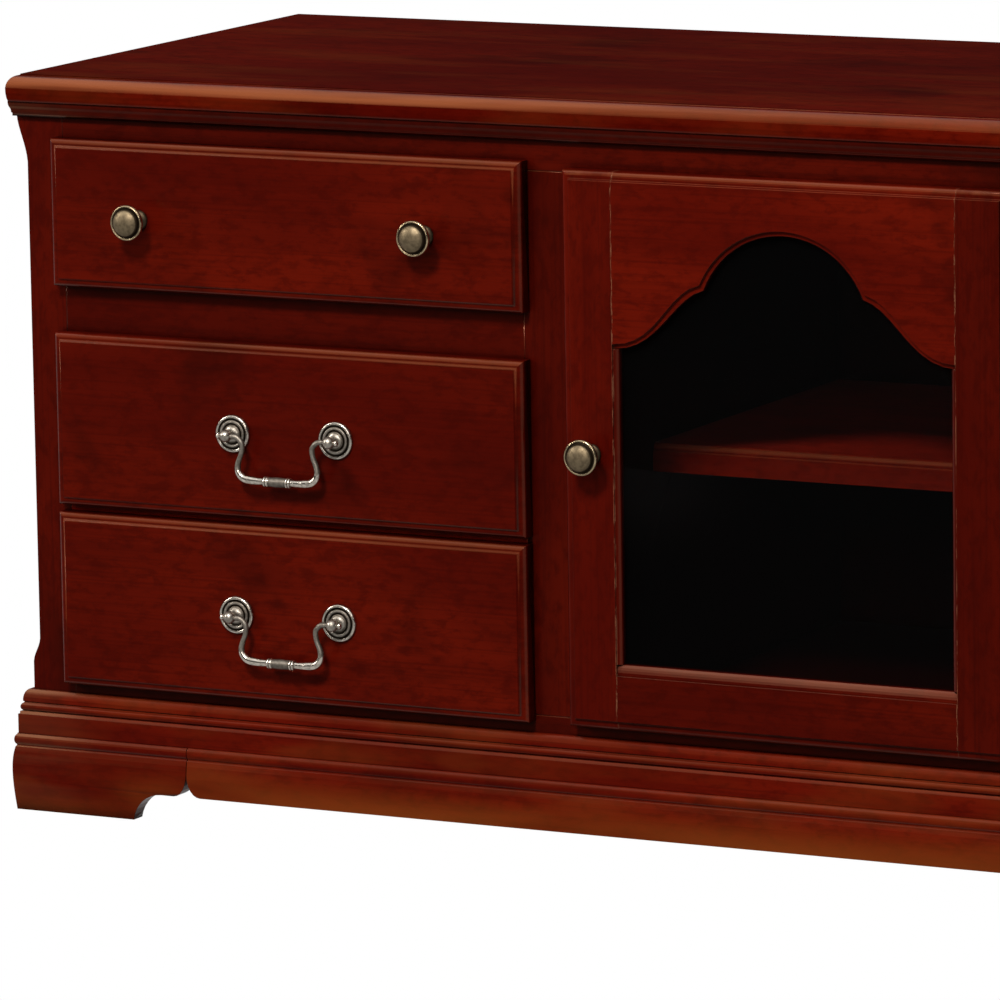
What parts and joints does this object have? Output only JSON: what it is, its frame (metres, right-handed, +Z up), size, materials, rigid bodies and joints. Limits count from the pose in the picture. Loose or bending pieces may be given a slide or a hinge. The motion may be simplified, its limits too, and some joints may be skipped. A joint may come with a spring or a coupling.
{
  "type": "tv stand",
  "caption": "Low media cabinet with stacks of lipped drawers on knobs and bail handles either side of an arched glass door, on bracket feet.",
  "frame": {"origin": "on the floor, under the middle of the bounding box", "axes": "+X to the right along the front, +Y from the front to the back, +Z up; the doors and drawers face -Y"},
  "size_m": [1.5308, 0.5566, 0.66],
  "materials": {
    "cherry_wood": "semi-gloss dark red cherry stain",
    "case_interior": "satin dark cherry stain",
    "drawer_wood": "sealed bare wood",
    "back_board": "thin sealed board",
    "antique_pewter": "antique pewter with dark recesses",
    "hinge_steel": "satin plate",
    "clear_glass": "clear"
  },
  "bodies": {
    "cabinet": {"top_panel": "cherry_wood", "cornice_moulding": "cherry_wood", "left_side_panel": "cherry_wood", "right_side_panel": "cherry_wood", "left_corner_stile": "cherry_wood", "right_corner_stile": "cherry_wood", "left_inner_stile": "cherry_wood", "right_inner_stile": "cherry_wood", "top_rail": "cherry_wood", "bottom_rail": "cherry_wood", "left_drawer_rails": "cherry_wood", "right_drawer_rails": "cherry_wood", "left_partition": "case_interior", "right_partition": "case_interior", "bottom_panel": "case_interior", "outer_back_panels": "back_board", "media_back_panel": "back_board", "shelf": "cherry_wood", "shelf_pins": "hinge_steel", "base_moulding": "cherry_wood", "front_left_foot": "cherry_wood", "front_right_foot": "cherry_wood", "front_apron": "cherry_wood", "side_aprons": "cherry_wood", "rear_feet": "cherry_wood", "foot_blocks": "drawer_wood", "left_drawer_runners": "drawer_wood", "right_drawer_runners": "drawer_wood", "frame_hinge_leaves": "hinge_steel", "door_catch": "hinge_steel"},
    "door": {"door_left_stile": "cherry_wood", "door_right_stile": "cherry_wood", "door_arched_rail": "cherry_wood", "door_bottom_rail": "cherry_wood", "door_glass": "clear_glass", "glass_retainers": "cherry_wood", "door_knob": "antique_pewter", "door_hinge_leaves": "hinge_steel"},
    "left_top_drawer": {"left_top_drawer_front": "cherry_wood", "left_top_drawer_box": "drawer_wood", "left_top_drawer_knobs": "antique_pewter"},
    "left_middle_drawer": {"left_middle_drawer_front": "cherry_wood", "left_middle_drawer_box": "drawer_wood", "left_middle_rosettes": "antique_pewter"},
    "left_middle_bail": {"left_middle_bail": "antique_pewter"},
    "left_bottom_drawer": {"left_bottom_drawer_front": "cherry_wood", "left_bottom_drawer_box": "drawer_wood", "left_bottom_rosettes": "antique_pewter"},
    "left_bottom_bail": {"left_bottom_bail": "antique_pewter"},
    "right_top_drawer": {"right_top_drawer_front": "cherry_wood", "right_top_drawer_box": "drawer_wood", "right_top_drawer_knobs": "antique_pewter"},
    "right_middle_drawer": {"right_middle_drawer_front": "cherry_wood", "right_middle_drawer_box": "drawer_wood", "right_middle_rosettes": "antique_pewter"},
    "right_middle_bail": {"right_middle_bail": "antique_pewter"},
    "right_bottom_drawer": {"right_bottom_drawer_front": "cherry_wood", "right_bottom_drawer_box": "drawer_wood", "right_bottom_rosettes": "antique_pewter"},
    "right_bottom_bail": {"right_bottom_bail": "antique_pewter"}
  },
  "joints": [
    {"name": "door_hinge", "type": "hinge", "parent": "cabinet", "child": "door", "pos_m": [0.2103, -0.2332, 0.36], "axis": [0, 0, 1], "range_deg": [0, 90]},
    {"name": "left_top_drawer_slide", "type": "slide", "parent": "cabinet", "child": "left_top_drawer", "axis": [0, -1, 0], "range_m": [0, 0.3]},
    {"name": "left_middle_drawer_slide", "type": "slide", "parent": "cabinet", "child": "left_middle_drawer", "axis": [0, -1, 0], "range_m": [0, 0.3]},
    {"name": "left_middle_bail_swing", "type": "hinge", "parent": "left_middle_drawer", "child": "left_middle_bail", "pos_m": [-0.479, -0.2617, 0.35475], "axis": [-1, 0, 0], "range_deg": [0, 90]},
    {"name": "left_bottom_drawer_slide", "type": "slide", "parent": "cabinet", "child": "left_bottom_drawer", "axis": [0, -1, 0], "range_m": [0, 0.3]},
    {"name": "left_bottom_bail_swing", "type": "hinge", "parent": "left_bottom_drawer", "child": "left_bottom_bail", "pos_m": [-0.479, -0.2617, 0.194], "axis": [-1, 0, 0], "range_deg": [0, 90]},
    {"name": "right_top_drawer_slide", "type": "slide", "parent": "cabinet", "child": "right_top_drawer", "axis": [0, -1, 0], "range_m": [0, 0.3]},
    {"name": "right_middle_drawer_slide", "type": "slide", "parent": "cabinet", "child": "right_middle_drawer", "axis": [0, -1, 0], "range_m": [0, 0.3]},
    {"name": "right_middle_bail_swing", "type": "hinge", "parent": "right_middle_drawer", "child": "right_middle_bail", "pos_m": [0.479, -0.2617, 0.35475], "axis": [-1, 0, 0], "range_deg": [0, 90]},
    {"name": "right_bottom_drawer_slide", "type": "slide", "parent": "cabinet", "child": "right_bottom_drawer", "axis": [0, -1, 0], "range_m": [0, 0.3]},
    {"name": "right_bottom_bail_swing", "type": "hinge", "parent": "right_bottom_drawer", "child": "right_bottom_bail", "pos_m": [0.479, -0.2617, 0.194], "axis": [-1, 0, 0], "range_deg": [0, 90]}
  ]
}
